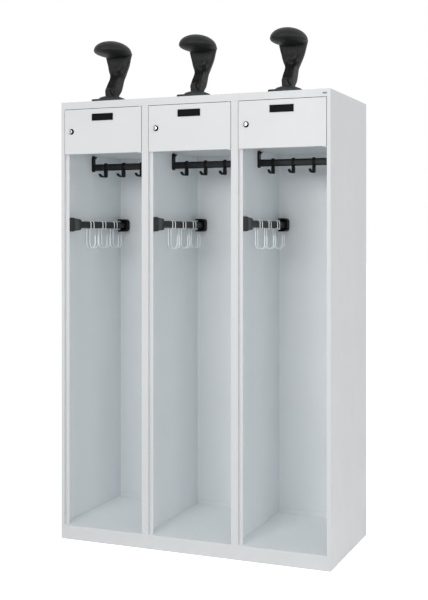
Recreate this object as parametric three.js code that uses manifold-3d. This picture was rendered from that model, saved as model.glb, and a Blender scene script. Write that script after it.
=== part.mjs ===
// Gear locker with three open compartments, a lockable box over each, and a holder on top
// for a helmet. Millimetres, +Z up, the front faces -Y.
import * as THREE from "three";
import { mergeVertices } from "three/addons/utils/BufferGeometryUtils.js";
import Module from "manifold-3d";

const wasm = await Module();
wasm.setup();

// Driving dimensions

// Body of folded sheet
const width = 1200;
const depth = 500;
const height = 1850;
const bays = 3;
const sheet = 1;
const stile = 15;
const post = 30;
const rebate = 15;
const stopFlange = 15;
const rearFlange = 15;
const header = 30;
const plinth = 60;
const footFlange = 30;
const floorUpturn = 20;
const cutGap = 0.3;
const looseGap = 0.5;
const sheetPlay = 1;

// Valuables box
const doorHeight = 188;
const doorGap = 2;
const doorDepth = 14.5;
const doorLip = 12;
const boxHeight = 205;
const shelfFold = 15;
const shelfSetback = 19;
const pinRadius = 2;
const pinPlay = 0.4;
const pinInset = 8;
const pinSetback = 4.5;
const pinReach = 4;
const lugLength = 15;
const lugDepth = 12;
const lugPlate = 2;

// Card holder
const cardWidth = 100;
const cardHeight = 29;
const cardThick = 3;
const cardRim = 3;
const cardPocket = 1.6;
const cardDrop = 21;

// Lock
const lockFromSide = 50;
const lockFlangeRadius = 12;
const lockFlange = 2;
const lockCollar = 5;
const lockBodyRadius = 8;
const lockBodyDepth = 13;
const plugRadius = 6.7;
const plugProud = 0.6;
const camSetback = 17.5;
const camPlate = 2;
const camWidth = 14;
const camReach = 31;
const keySlotWidth = 1.4;
const keySlotHeight = 7;
const keySlotDepth = 2;

// Oval tube of both rails
const tubeWide = 15;
const tubeTall = 30;
const tubeWall = 1.5;

// Coat rail and its end brackets
const coatRailBelow = 55;
const coatRailShare = 0.5;
const railPlate = 8;
const railPlateWide = 20;
const railPlateTall = 72;
const railPlateLow = 20;
const railLugReach = 12;
const railLugTall = 14;
const railLugDrop = 4;
const railLugInset = 2;
const railScrewHole = 2.5;

// Coat hook
const hooksPerRail = 4;
const hookFirst = 68;
const hookLast = 62;
const hookStrapWide = 7;
const hookWide = 13;
const hookPlay = 0.5;
const hookStrap = 3.5;
const hookShankBack = 9.5;
const hookShankFront = 11;
const hookBottom = 46;
const hookThroat = 39;
const hookTipReach = 54;
const hookTipLow = 39.5;
const hookTipHigh = 32.5;
const hookTipLean = 2;
const hookHeelRadius = 8;
const hookThroatRadius = 4;

// Hanger rail and its two brackets
const hangerRailX = 33;
const hangerRailBelow = 257;
const bracketWide = 28;
const frontBracketLong = 72;
const frontBracketTall = 60;
const frontBracketWaist = 51;
const frontBracketNeck = 37;
const frontBracketStraight = 30;
const frontBracketShoulder = 8;
const frontBracketEndWide = 22;
const tubeInFront = 30;
const rearBracketWide = 32;
const rearBracketLong = 57;
const rearBracketTall = 58;
const rearBracketWallTall = 46;
const rearBracketStraight = 20;
const rearPocketTall = 44;
const rearPocketCorner = 12;
const rearPocketDeep = 28;
const tubeInRear = 36;

// Wire hanger
const hangersPerRail = 3;
const hangerFromFront = 90.5;
const hangerFromRear = 62.5;
const wireRadius = 1.8;
const wirePair = 25;
const ringHalf = 10.5;
const ringShift = 0.5;
const ringPlay = 0.6;
const ringUnder = 3;
const ringCorner = 5;
const ringTail = 12;
const jRadius = 21;
const jBottomDrop = 102;
const jTipDrop = 43;

// Helmet holder, heights above the top of the body
const standPlateWide = 136;
const standPlateFront = 14;
const standPlateDeep = 150;
const standPlateCorner = 22;
const standPlateThick = 11;
const standBossHalfWide = 54;
const standBossHalfDeep = 70;
const standBossY = 86;
const standBossTop = 30;
const holderAside = 2.5;
const neckTall = 217;
const neckBack = 143;
const neckHalfWide = 61;
const neckHalfDeep = 42;
const headTop = 262;
const headGirth = 216;
const headBelow = 21;
const headY = 89;
const headHalfWide = 72;
const headHalfDeep = 100;
const headWall = 3;
const headMouthHalfWide = 30;
const headMouthHalfDeep = 20;
const headSeam = 0.6;

// Boss on the base plate: shares of its half width and of its height, from rim to top
const bossShares = [
  { radius: 1, z: 0.2 },
  { radius: 0.97, z: 0.53 },
  { radius: 0.89, z: 0.68 },
  { radius: 0.42, z: 1 },
];

// Neck from foot to top: shares of its height, set-back, half width and half depth, and
// how much narrower it is at the rear
const neckSquareShare = 0.5;
const neckShares = [
  { z: 0.028, y: 0.601, halfX: 0.352, halfY: 0.75, taper: 0 },
  { z: 0.134, y: 0.587, halfX: 0.349, halfY: 0.738, taper: 0 },
  { z: 0.244, y: 0.655, halfX: 0.382, halfY: 1, taper: 0 },
  { z: 0.327, y: 0.73, halfX: 0.377, halfY: 1, taper: 0 },
  { z: 0.498, y: 0.874, halfX: 0.352, halfY: 0.929, taper: 0 },
  { z: 0.567, y: 0.979, halfX: 0.484, halfY: 0.69, taper: 0.2 },
  { z: 0.677, y: 0.99, halfX: 0.672, halfY: 0.548, taper: 0.12 },
  { z: 0.765, y: 1, halfX: 0.779, halfY: 0.5, taper: 0.08 },
  { z: 0.912, y: 0.986, halfX: 0.934, halfY: 0.452, taper: 0.04 },
  { z: 1, y: 0.986, halfX: 1, halfY: 0.452, taper: 0 },
];

// Channel in the front of the neck: the same shares
const channelShares = [
  { z: 0.276, y: 0.476, halfX: 0.197, halfY: 0.119, taper: 0 },
  { z: 0.35, y: 0.538, halfX: 0.295, halfY: 0.524, taper: 0 },
  { z: 0.479, y: 0.671, halfX: 0.303, halfY: 0.619, taper: 0 },
  { z: 0.585, y: 0.804, halfX: 0.32, halfY: 0.524, taper: 0 },
  { z: 0.691, y: 0.832, halfX: 0.344, halfY: 0.429, taper: 0 },
];

// Numbers of facets
const tubeArcSteps = 6;
const roundSteps = 16;
const pinSteps = 8;
const wireSides = 6;
const wireArcSteps = 2;
const jArcSteps = 3;
const neckSides = 32;
const neckRings = 16;
const headSides = 22;
const headRings = 12;
const curveSteps = 3;

// Sizes that follow from these
const bay = width / bays;
const half = 2;
const frontMost = headHalfDeep - headY;
const originY = (depth - frontMost) / half;
const doorTop = height - header - doorGap;
const doorBottom = doorTop - doorHeight;
const doorLeft = stile + doorGap;
const doorRight = bay - stile - doorGap;
const pinX = doorRight - pinInset;
const lockZ = (doorTop + doorBottom) / half + sheet;
const lockFace = -lockFlange - lockCollar;
const backFace = depth - sheet;
const stationsOf = (shares) =>
  shares.map((share) => ({
    z: share.z * neckTall,
    y: share.y * neckBack,
    halfX: share.halfX * neckHalfWide,
    halfY: share.halfY * neckHalfDeep,
    taper: share.taper,
  }));
const neckStations = stationsOf(neckShares);
const channelStations = stationsOf(channelShares);
const boxFloor = height - boxHeight;
const coatRailZ = boxFloor - coatRailBelow;
const coatRailY = depth * coatRailShare;
const hookPitch = (bay - hookFirst - hookLast) / (hooksPerRail - 1);
const hangerRailZ = coatRailZ - hangerRailBelow;
const frontBracketEnd = rebate + sheet + frontBracketLong;
const rearBracketMouth = backFace - rearBracketLong;
const hangerFirst = frontBracketEnd + hangerFromFront;
const hangerPitch = (rearBracketMouth - hangerFromRear - hangerFirst) / (hangersPerRail - 1);

// Materials of the pieces
const greyCoat = { color: 0xd9dcdd, roughness: 0.45, metalness: 0.0 };
const doorCoat = { color: 0xdedfe1, roughness: 0.4, metalness: 0.0 };
const blackPlastic = { color: 0x2c2d2e, roughness: 0.55, metalness: 0.0 };
const blackTube = { color: 0x303132, roughness: 0.45, metalness: 0.1 };
const chrome = { color: 0xc9cccd, roughness: 0.22, metalness: 1.0 };
const steelWire = { color: 0xd0d6d8, roughness: 0.3, metalness: 0.9 };

// Solids and meshes

function solid(geometry) {
  const plain = geometry.index ? geometry.toNonIndexed() : geometry.clone();
  plain.deleteAttribute("normal");
  plain.deleteAttribute("uv");
  const merged = mergeVertices(plain, 1e-4);
  return new wasm.Manifold(
    new wasm.Mesh({
      numProp: 3,
      vertProperties: new Float32Array(merged.attributes.position.array),
      triVerts: new Uint32Array(merged.index.array),
    }),
  );
}

function geometryOf(body) {
  const made = body.getMesh();
  const positions = new Float32Array(made.numVert * 3);
  for (let i = 0; i < made.numVert; i++) {
    positions.set(made.vertProperties.subarray(i * made.numProp, i * made.numProp + 3), i * 3);
  }
  const geometry = new THREE.BufferGeometry();
  geometry.setAttribute("position", new THREE.BufferAttribute(positions, 3));
  geometry.setIndex(new THREE.BufferAttribute(new Uint32Array(made.triVerts), 1));
  geometry.computeVertexNormals();
  return geometry;
}

function piece(name, body, look) {
  const mesh = new THREE.Mesh(geometryOf(body), new THREE.MeshStandardMaterial(look));
  mesh.name = name;
  return mesh;
}

function box(x0, x1, y0, y1, z0, z1) {
  const geometry = new THREE.BoxGeometry(x1 - x0, y1 - y0, z1 - z0);
  geometry.translate((x0 + x1) / half, (y0 + y1) / half, (z0 + z1) / half);
  return solid(geometry);
}

// A flat outline given in X and Y, drawn up along Z.
function upright(shape, z0, z1) {
  const geometry = new THREE.ExtrudeGeometry(shape, {
    depth: z1 - z0,
    bevelEnabled: false,
    curveSegments: curveSteps,
  });
  geometry.translate(0, 0, z0);
  return solid(geometry);
}

// A flat outline given in Y and Z, drawn along X.
function lengthwise(shape, x0, x1) {
  const geometry = new THREE.ExtrudeGeometry(shape, {
    depth: x1 - x0,
    bevelEnabled: false,
    curveSegments: curveSteps,
  });
  geometry.rotateX(Math.PI / half);
  geometry.rotateZ(Math.PI / half);
  geometry.translate(x0, 0, 0);
  return solid(geometry);
}

// A flat outline given in X and Z, drawn along Y from front to back.
function depthwise(shape, y0, y1) {
  const geometry = new THREE.ExtrudeGeometry(shape, {
    depth: y1 - y0,
    bevelEnabled: false,
    curveSegments: curveSteps,
  });
  geometry.rotateX(Math.PI / half);
  geometry.translate(0, y1, 0);
  return solid(geometry);
}

function polygon(points) {
  return new THREE.Shape(points.map(([a, b]) => new THREE.Vector2(a, b)));
}

// Section of a folded sheet: the path of one face, with the thickness on its left.
function foldedSheet(points) {
  const path = points.map(([a, b]) => new THREE.Vector2(a, b));
  const last = path.length - 1;
  const normals = [];
  for (let i = 0; i < last; i++) {
    const along = path[i + 1].clone().sub(path[i]).normalize();
    normals.push(new THREE.Vector2(-along.y, along.x));
  }
  const other = path.map((point, i) => {
    const a = normals[Math.max(i - 1, 0)];
    const b = normals[Math.min(i, last - 1)];
    const mitre = a.clone().add(b);
    mitre.multiplyScalar((sheet * half) / mitre.lengthSq());
    return point.clone().add(mitre);
  });
  return new THREE.Shape([...path, ...other.reverse()]);
}

// Outline of the oval tube, taller than wide, grown by a margin on all sides.
function oval(centreA, centreB, margin, steps) {
  const radius = tubeWide / half + margin;
  const straight = (tubeTall - tubeWide) / half;
  const shape = new THREE.Shape();
  const points = [];
  for (const [side, start] of [[1, 0], [-1, Math.PI]]) {
    for (let i = 0; i <= steps; i++) {
      const turn = start + (Math.PI * i) / steps;
      const a = centreA + radius * Math.cos(turn);
      const b = centreB + side * straight + radius * Math.sin(turn);
      points.push(new THREE.Vector2(a, b));
    }
  }
  shape.setFromPoints(points);
  return shape;
}

function roundedRectangle(a0, a1, b0, b1, radius) {
  const shape = new THREE.Shape();
  shape.moveTo(a0 + radius, b0);
  shape.lineTo(a1 - radius, b0);
  shape.absarc(a1 - radius, b0 + radius, radius, -Math.PI / half, 0, false);
  shape.lineTo(a1, b1 - radius);
  shape.absarc(a1 - radius, b1 - radius, radius, 0, Math.PI / half, false);
  shape.lineTo(a0 + radius, b1);
  shape.absarc(a0 + radius, b1 - radius, radius, Math.PI / half, Math.PI, false);
  shape.lineTo(a0, b0 + radius);
  shape.absarc(a0 + radius, b0 + radius, radius, Math.PI, Math.PI * 1.5, false);
  return shape;
}

// Round bar along X, along Y and along Z.
function barX(radius, y, z, x0, x1) {
  const geometry = new THREE.CylinderGeometry(radius, radius, x1 - x0, pinSteps);
  geometry.rotateZ(Math.PI / half);
  geometry.translate((x0 + x1) / half, y, z);
  return solid(geometry);
}

function barY(radius, x, z, y0, y1, steps) {
  const geometry = new THREE.CylinderGeometry(radius, radius, y1 - y0, steps);
  geometry.translate(x, (y0 + y1) / half, z);
  return solid(geometry);
}

function barZ(radius, x, y, z0, z1) {
  const geometry = new THREE.CylinderGeometry(radius, radius, z1 - z0, pinSteps);
  geometry.rotateX(Math.PI / half);
  geometry.translate(x, y, (z0 + z1) / half);
  return solid(geometry);
}

// Body panels

// Lug under the door's lower corner, with the hole of the hinge pin.
function hingeLug(wallX) {
  const top = doorBottom - sheetPlay;
  const x = wallX - stile - doorGap - pinInset;
  const plate = box(wallX - stile - lugLength, wallX - stile, looseGap, lugDepth, top - lugPlate, top);
  return plate.subtract(barZ(pinRadius + pinPlay, x, pinSetback, top - lugPlate - sheet, top + sheet));
}

function footOf(x0, x1) {
  return box(x0, x1, rebate + sheet + sheetPlay, backFace, 0, sheet);
}

function leftSide() {
  const section = foldedSheet([
    [rearFlange, backFace],
    [0, backFace],
    [0, 0],
    [stile, 0],
    [stile, rebate],
    [stile + stopFlange, rebate],
  ]);
  const wall = upright(section, 0, height - sheet);
  const past = stile + stopFlange + sheet;
  const below = box(stile, past, rebate - sheetPlay, rebate + half * sheet, -sheet, plinth);
  const above = box(stile, past, rebate - sheetPlay, rebate + half * sheet, height - header, height);
  return wall.subtract(below).subtract(above).add(footOf(0, footFlange));
}

function rightSide() {
  const section = foldedSheet([
    [width - stile / half, rebate + sheet],
    [width - stile, rebate + sheet],
    [width - stile, 0],
    [width, 0],
    [width, backFace],
    [width - rearFlange, backFace],
  ]);
  const wall = upright(section, 0, height - sheet);
  return wall.add(hingeLug(width)).add(footOf(width - footFlange, width));
}

function partition(x) {
  const face = x - sheet / half;
  const section = foldedSheet([
    [face + rearFlange, backFace],
    [face, backFace],
    [face, rebate + sheet],
    [x - post / half, rebate + sheet],
    [x - post / half, 0],
    [x + post / half, 0],
    [x + post / half, rebate],
    [x + post / half + stopFlange, rebate],
  ]);
  const wall = upright(section, plinth, height - sheet);
  const front = box(x - post, x + post, -sheet, rebate + sheet + sheetPlay, height - header, height);
  return wall.subtract(front).add(hingeLug(x));
}

function backPanel() {
  return box(0, width, backFace, depth, 0, height - sheet);
}

function topPanel() {
  const section = foldedSheet([
    [depth, height],
    [0, height],
    [0, height - header],
    [rebate, height - header],
  ]);
  let panel = lengthwise(section, 0, width);
  for (const [x0, x1] of [[-sheet, stile], [width - stile, width + sheet]]) {
    panel = panel.subtract(box(x0, x1, -sheet, rebate + sheet, 0, height - sheet));
  }
  for (let i = 0; i < bays; i++) {
    const x = i * bay + pinX;
    panel = panel.subtract(barZ(pinRadius + pinPlay, x, pinSetback, height - header - sheet, height - header + half * sheet));
  }
  return panel;
}

function floorPanel() {
  const upturn = backFace - half * sheet;
  const section = foldedSheet([
    [upturn, plinth + floorUpturn],
    [upturn, plinth],
    [0, plinth],
    [0, 0],
    [rebate, 0],
  ]);
  let panel = lengthwise(section, sheet, width - sheet);
  for (let i = 1; i < bays; i++) {
    const x = i * bay;
    panel = panel.subtract(box(x - sheet, x + sheet, upturn - sheet, backFace, plinth, plinth + floorUpturn + sheet));
  }
  for (const [x0, x1] of [[0, stile], [width - stile, width]]) {
    panel = panel.subtract(box(x0, x1, -sheet, rebate + sheet, -sheet, plinth + sheet));
  }
  return panel;
}

// Shelf under the valuables box: a tray with its four edges folded up.
function shelf() {
  const x0 = sheet;
  const x1 = bay - sheet;
  const y0 = shelfSetback;
  const y1 = backFace - sheet;
  const outer = box(x0, x1, y0, y1, boxFloor, boxFloor + shelfFold);
  const inner = box(x0 + sheet, x1 - sheet, y0 + sheet, y1 - sheet, boxFloor + sheet, boxFloor + shelfFold + sheet);
  return outer.subtract(inner);
}

// Door: a pan with folded edges and inner lips, on two pins.
function door() {
  const outer = box(doorLeft, doorRight, 0, doorDepth, doorBottom, doorTop);
  const inner = box(doorLeft + sheet, doorRight - sheet, sheet, doorDepth - sheet, doorBottom + sheet, doorTop - sheet);
  const opening = box(
    doorLeft + doorLip,
    doorRight - doorLip,
    doorDepth / half,
    doorDepth + sheet,
    doorBottom + doorLip,
    doorTop - doorLip,
  );
  const hole = barY(lockBodyRadius + cutGap, lockFromSide, lockZ, -sheet, half * sheet, roundSteps);
  const upper = barZ(pinRadius, pinX, pinSetback, doorTop - sheet / half, doorTop + pinReach);
  const lower = barZ(pinRadius, pinX, pinSetback, doorBottom - pinReach, doorBottom + sheet / half);
  return outer.subtract(inner).subtract(opening).subtract(hole).add(upper).add(lower);
}

// Name-card holder: a frame with a shallow pocket, open at its upper edge.
function cardHolder() {
  const x0 = (bay - cardWidth) / half;
  const z1 = doorTop - cardDrop;
  const z0 = z1 - cardHeight;
  const frame = depthwise(roundedRectangle(x0, x0 + cardWidth, z0, z1, cardRim / half), -cardThick, 0);
  const pocket = box(x0 + cardRim, x0 + cardWidth - cardRim, -cardThick - sheet, -cardThick + cardPocket, z0 + cardRim, z1 - cardRim);
  return frame.subtract(pocket);
}

function lockHousing() {
  const flange = barY(lockFlangeRadius, lockFromSide, lockZ, -lockFlange, 0, roundSteps);
  const body = barY(lockBodyRadius, lockFromSide, lockZ, lockFace, lockBodyDepth, roundSteps);
  const bore = barY(plugRadius + cutGap, lockFromSide, lockZ, lockFace - sheet, lockBodyDepth + sheet, roundSteps);
  return flange.add(body).subtract(bore);
}

// Plug with the locking cam on its rear end, hanging down when unlocked.
function lockPlug() {
  const plug = barY(plugRadius, lockFromSide, lockZ, lockFace - plugProud, camSetback + camPlate, roundSteps);
  const arm = roundedRectangle(
    lockFromSide - camWidth / half,
    lockFromSide + camWidth / half,
    lockZ - camReach,
    lockZ + camWidth / half,
    camWidth / half - looseGap,
  );
  const slot = box(
    lockFromSide - keySlotWidth / half,
    lockFromSide + keySlotWidth / half,
    lockFace - plugProud - sheet,
    lockFace - plugProud + keySlotDepth,
    lockZ - keySlotHeight / half,
    lockZ + keySlotHeight / half,
  );
  return plug.add(depthwise(arm, camSetback, camSetback + camPlate)).subtract(slot);
}

// Coat rail: oval tube held between two end plates with a small lug on each.
function coatRail() {
  const x0 = sheet;
  const x1 = bay - sheet;
  const outline = oval(coatRailY, coatRailZ, 0, tubeArcSteps);
  outline.holes.push(oval(coatRailY, coatRailZ, -tubeWall, tubeArcSteps));
  let rail = lengthwise(outline, x0 + railPlate / half, x1 - railPlate / half);
  const low = coatRailZ - railPlateLow;
  const high = low + railPlateTall;
  const plate = roundedRectangle(
    coatRailY - railPlateWide / half,
    coatRailY + railPlateWide / half,
    low,
    high,
    railPlateWide / half - looseGap,
  );
  for (const [wall, inward] of [[x0, 1], [x1, -1]]) {
    const face = wall + inward * railPlate;
    rail = rail.add(lengthwise(plate, Math.min(wall, face), Math.max(wall, face)));
    const lug = polygon([
      [wall + (inward * railPlate) / half, high - railLugDrop],
      [wall + (inward * railPlate) / half, high - railLugDrop - railLugTall],
      [face, high - railLugDrop - railLugTall],
      [face + inward * railLugReach, high - railLugDrop],
    ]);
    const lugHalf = railPlateWide / half - railLugInset;
    rail = rail.add(depthwise(lug, coatRailY - lugHalf, coatRailY + lugHalf));
  }
  return rail.subtract(barX(railScrewHole, coatRailY, coatRailZ, x0 - sheet, x1 + sheet));
}

// Sliding hook: a strap round the tube, a shank below it and a J to the front.
function coatHook(x) {
  const strap = oval(coatRailY, coatRailZ, hookPlay + hookStrap, tubeArcSteps);
  strap.holes.push(oval(coatRailY, coatRailZ, hookPlay, tubeArcSteps));
  const loop = lengthwise(strap, x - hookStrapWide / half, x + hookStrapWide / half);
  const y = (value) => coatRailY + value;
  const z = (value) => coatRailZ + value;
  const under = -tubeTall / half - hookPlay;
  const hook = new THREE.Shape();
  hook.moveTo(y(-hookShankFront), z(under - hookStrap / half));
  hook.lineTo(y(-hookShankFront), z(-hookThroat + hookThroatRadius));
  hook.quadraticCurveTo(y(-hookShankFront), z(-hookThroat), y(-hookShankFront - hookThroatRadius), z(-hookThroat));
  hook.quadraticCurveTo(y(-hookTipReach / half), z(-hookThroat), y(-hookTipReach + hookTipLean), z(-hookTipHigh));
  hook.lineTo(y(-hookTipReach), z(-hookTipLow));
  hook.quadraticCurveTo(y(-hookTipReach / half), z(-hookBottom), y(hookShankBack - hookHeelRadius), z(-hookBottom));
  hook.quadraticCurveTo(y(hookShankBack), z(-hookBottom), y(hookShankBack), z(-hookBottom + hookHeelRadius));
  hook.lineTo(y(hookShankBack), z(under - hookStrap / half));
  const shank = lengthwise(hook, x - hookWide / half, x + hookWide / half);
  return loop.add(shank);
}

// Hanger rail: oval tube along the left wall, held in a cup on the back panel.
function hangerRail() {
  const front = frontBracketEnd - tubeInFront;
  const mouth = rearBracketMouth;
  const outline = oval(hangerRailX, hangerRailZ, 0, tubeArcSteps);
  outline.holes.push(oval(hangerRailX, hangerRailZ, -tubeWall, tubeArcSteps));
  const tube = depthwise(outline, front, mouth + tubeInRear);
  const side = new THREE.Shape();
  const halfMouth = rearBracketTall / half;
  const halfWall = rearBracketWallTall / half;
  const round = halfWall / half;
  side.moveTo(mouth, hangerRailZ - halfMouth);
  side.lineTo(mouth + rearBracketStraight, hangerRailZ - halfMouth);
  side.quadraticCurveTo(backFace, hangerRailZ - halfMouth, backFace, hangerRailZ - halfWall + round);
  side.lineTo(backFace, hangerRailZ + halfWall - round);
  side.quadraticCurveTo(backFace, hangerRailZ + halfMouth, mouth + rearBracketStraight, hangerRailZ + halfMouth);
  side.lineTo(mouth, hangerRailZ + halfMouth);
  const cup = lengthwise(side, hangerRailX - rearBracketWide / half, hangerRailX + rearBracketWide / half);
  const pocket = lengthwise(
    roundedRectangle(
      mouth - rearPocketDeep,
      mouth + rearPocketDeep,
      hangerRailZ - rearPocketTall / half,
      hangerRailZ + rearPocketTall / half,
      rearPocketCorner,
    ),
    hangerRailX - bracketWide,
    hangerRailX + bracketWide,
  );
  return cup.subtract(pocket).add(tube);
}

// Bell-shaped front bracket: full height at the front, narrowing to the tube.
function frontBracket() {
  const y0 = rebate + sheet;
  const y1 = frontBracketEnd;
  const bend = y0 + frontBracketStraight;
  const tall = frontBracketTall / half;
  const waist = frontBracketWaist / half;
  const neck = frontBracketNeck / half;
  const side = new THREE.Shape();
  side.moveTo(y0, hangerRailZ - tall);
  side.lineTo(bend, hangerRailZ - waist);
  side.quadraticCurveTo(y1 - frontBracketShoulder, hangerRailZ - waist, y1, hangerRailZ - neck);
  side.lineTo(y1, hangerRailZ + neck);
  side.quadraticCurveTo(y1 - frontBracketShoulder, hangerRailZ + waist, bend, hangerRailZ + waist);
  side.lineTo(y0, hangerRailZ + tall);
  const wide = bracketWide / half;
  const end = frontBracketEndWide / half;
  const plan = new THREE.Shape();
  plan.moveTo(hangerRailX - wide, y0);
  plan.lineTo(hangerRailX + wide, y0);
  plan.lineTo(hangerRailX + wide, bend);
  plan.quadraticCurveTo(hangerRailX + wide, (bend + y1) / half, hangerRailX + end, y1);
  plan.lineTo(hangerRailX - end, y1);
  plan.quadraticCurveTo(hangerRailX - wide, (bend + y1) / half, hangerRailX - wide, bend);
  const body = lengthwise(side, hangerRailX - wide, hangerRailX + wide).intersect(
    upright(plan, hangerRailZ - tall, hangerRailZ + tall),
  );
  const socket = depthwise(
    oval(hangerRailX, hangerRailZ, cutGap, tubeArcSteps),
    y1 - tubeInFront - sheet,
    y1 + sheet,
  );
  return body.subtract(socket);
}

// Path of a bent wire, with a knot at every bend point.
class WirePath extends THREE.Curve {
  constructor(points) {
    super();
    this.points = points;
  }

  getPoint(t, target = new THREE.Vector3()) {
    const place = t * (this.points.length - 1);
    const i = Math.min(Math.floor(place), this.points.length - 2);
    return target.lerpVectors(this.points[i], this.points[i + 1], place - i);
  }

  getTangent(t, target = new THREE.Vector3()) {
    const last = this.points.length - 1;
    const i = Math.round(t * last);
    const back = this.points[i].clone().sub(this.points[Math.max(i - 1, 0)]).normalize();
    const ahead = this.points[Math.min(i + 1, last)].clone().sub(this.points[i]).normalize();
    return target.copy(back.add(ahead)).normalize();
  }

  getUtoTmapping(u) {
    return u;
  }
}

// Wire hanger: two rings on the tube, two shanks and a double J, in one bent wire.
function wireHanger(y) {
  const leftX = hangerRailX - ringShift - ringHalf;
  const rightX = leftX + half * ringHalf;
  const ringX = leftX + ringHalf;
  const ringTop = hangerRailZ + tubeTall / half + ringPlay + wireRadius;
  const under = hangerRailZ - tubeTall / half - ringUnder;
  const arc = (x, z, radius, from, to, steps) => {
    const points = [];
    for (let i = 0; i <= steps; i++) {
      const turn = from + ((to - from) * i) / steps;
      points.push([x + radius * Math.cos(turn), z + radius * Math.sin(turn)]);
    }
    return points;
  };
  const quarter = Math.PI / half;
  const flat = [
    [rightX - ringTail, under],
    ...arc(rightX - ringCorner, under + ringCorner, ringCorner, -quarter, 0, wireArcSteps),
    ...arc(ringX, ringTop - ringHalf, ringHalf, 0, Math.PI, half * wireArcSteps + half),
    ...arc(leftX + jRadius, hangerRailZ - jBottomDrop + jRadius, jRadius, Math.PI, half * Math.PI, half * jArcSteps),
  ];
  const tipHalf = wirePair / half;
  const nearY = y - tipHalf;
  const tipX = leftX + half * jRadius;
  const near = flat.map(([x, z]) => new THREE.Vector3(x, nearY, z));
  for (const [dy, z] of arc(0, hangerRailZ - jTipDrop - tipHalf, tipHalf, Math.PI, quarter, jArcSteps)) {
    near.push(new THREE.Vector3(tipX, y + dy, z));
  }
  const far = near.slice(0, -1).map((point) => new THREE.Vector3(point.x, half * y - point.y, point.z));
  const points = [...near, ...far.reverse()];
  const section = new THREE.Shape();
  section.setFromPoints(
    Array.from({ length: wireSides }, (unused, i) => {
      const turn = (half * Math.PI * i) / wireSides;
      return new THREE.Vector2(wireRadius * Math.cos(turn), wireRadius * Math.sin(turn));
    }),
  );
  const geometry = new THREE.ExtrudeGeometry(section, {
    steps: points.length - 1,
    extrudePath: new WirePath(points),
  });
  return solid(geometry);
}

// Value of one dimension at a height, smooth between the stations of a column.
function stationValue(stations, z, key) {
  const last = stations.length - 1;
  let i = 0;
  while (i < last - 1 && z > stations[i + 1].z) {
    i++;
  }
  const [low, high] = [stations[i], stations[i + 1]];
  const before = stations[Math.max(i - 1, 0)];
  const after = stations[Math.min(i + half, last)];
  const span = high.z - low.z;
  const s = THREE.MathUtils.clamp((z - low.z) / span, 0, 1);
  const slope = (a, b) => ((b[key] - a[key]) / (b.z - a.z)) * span;
  const s2 = s * s;
  const s3 = s2 * s;
  return (
    (half * s3 - 3 * s2 + 1) * low[key] +
    (s3 - half * s2 + s) * slope(before, high) +
    (3 * s2 - half * s3) * high[key] +
    (s3 - s2) * slope(low, after)
  );
}

// Closed column whose section follows the stations: squarer for a smaller square share.
function column(stations, squareShare, rings) {
  const geometry = new THREE.CylinderGeometry(1, 1, 1, neckSides, rings);
  const position = geometry.attributes.position;
  const [from, to] = [stations[0].z, stations[stations.length - 1].z];
  for (let i = 0; i < position.count; i++) {
    const z = THREE.MathUtils.lerp(from, to, position.getY(i) + 1 / half);
    const value = (key) => stationValue(stations, z, key);
    const radius = Math.hypot(position.getX(i), position.getZ(i));
    const turn = Math.atan2(-position.getZ(i), position.getX(i));
    const c = Math.cos(turn);
    const s = Math.sin(turn);
    const back = Math.sign(s) * Math.abs(s) ** squareShare;
    const x = Math.sign(c) * Math.abs(c) ** squareShare * (1 - value("taper") * back);
    position.setXYZ(i, radius * x * value("halfX"), value("y") + radius * back * value("halfY"), z);
  }
  return solid(geometry);
}

// Closed head form with a flatter lower side, drawn in by an inset.
function headForm(inset, sides, rings) {
  const geometry = new THREE.SphereGeometry(1, sides, rings);
  geometry.rotateX(Math.PI / half);
  const position = geometry.attributes.position;
  for (let i = 0; i < position.count; i++) {
    const up = position.getZ(i);
    const reach = (up > 0 ? headTop - headGirth : headBelow) - inset;
    position.setXYZ(
      i,
      position.getX(i) * (headHalfWide - inset),
      headY + position.getY(i) * (headHalfDeep - inset),
      headGirth + up * reach,
    );
  }
  return solid(geometry);
}

// Stand: base plate with a domed boss, and a channelled neck leaning to the rear.
function helmetStand() {
  const plate = upright(
    roundedRectangle(
      -standPlateWide / half,
      standPlateWide / half,
      standPlateFront,
      standPlateFront + standPlateDeep,
      standPlateCorner,
    ),
    0,
    standPlateThick,
  );
  const rise = bossShares.map((share) => new THREE.Vector2(share.radius * standBossHalfWide, share.z * standBossTop));
  const foot = new THREE.Vector2(0, rise[0].y);
  const crown = new THREE.Vector2(0, standBossTop);
  const boss = new THREE.LatheGeometry([foot, ...rise, crown], neckSides);
  boss.rotateX(Math.PI / half);
  boss.scale(1, standBossHalfDeep / standBossHalfWide, 1);
  boss.translate(0, standBossY, 0);
  const neck = column(neckStations, neckSquareShare, neckRings);
  const channel = column(channelStations, 1, neckRings);
  const cap = headForm(-headSeam, headSides, headRings);
  return plate.add(neck.subtract(channel).subtract(cap)).add(solid(boss));
}

// Head cap: a hollow dome with a mouth below, over the neck.
function helmetHead() {
  const outer = headForm(0, headSides, headRings);
  const inner = headForm(headWall, headSides / half, headRings / half);
  const mouth = new THREE.CylinderGeometry(1, 1, headBelow * half, roundSteps);
  mouth.rotateX(Math.PI / half);
  mouth.scale(headMouthHalfWide, headMouthHalfDeep, 1);
  mouth.translate(0, stationValue(neckStations, headGirth, "y"), headGirth - headBelow);
  return outer.subtract(inner).subtract(solid(mouth));
}

// Assembly

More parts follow.
